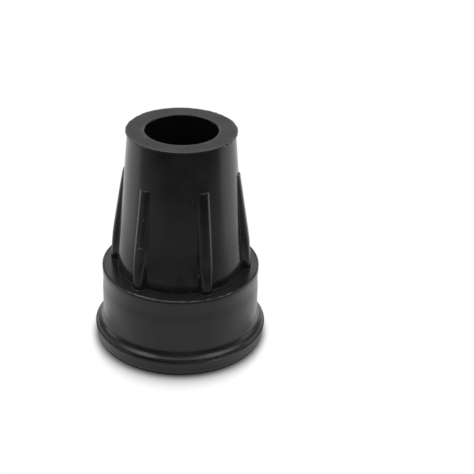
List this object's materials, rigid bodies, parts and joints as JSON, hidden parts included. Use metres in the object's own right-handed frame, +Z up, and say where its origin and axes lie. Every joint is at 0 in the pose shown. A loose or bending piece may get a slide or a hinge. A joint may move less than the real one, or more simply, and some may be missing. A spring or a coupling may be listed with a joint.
{
  "type": "rubber cane tip",
  "caption": "Moulded black rubber ferrule for a walking cane: tapered finned neck with a blind bore, wide collar, beaded flange and a stepped ring tread underneath.",
  "frame": {"origin": "centre of the sole, on the surface the tip stands on", "axes": "+Z up along the bore axis, out of the bore's mouth; -Y towards the viewer of the standing tip, +X to its right"},
  "size_m": [0.0468, 0.0468, 0.0602],
  "materials": {
    "rubber": "satin black moulded rubber, slightly glossy on the flanks, matt on the cut top face"
  },
  "bodies": {
    "root": {"cane_tip": "rubber"}
  },
  "joints": []
}
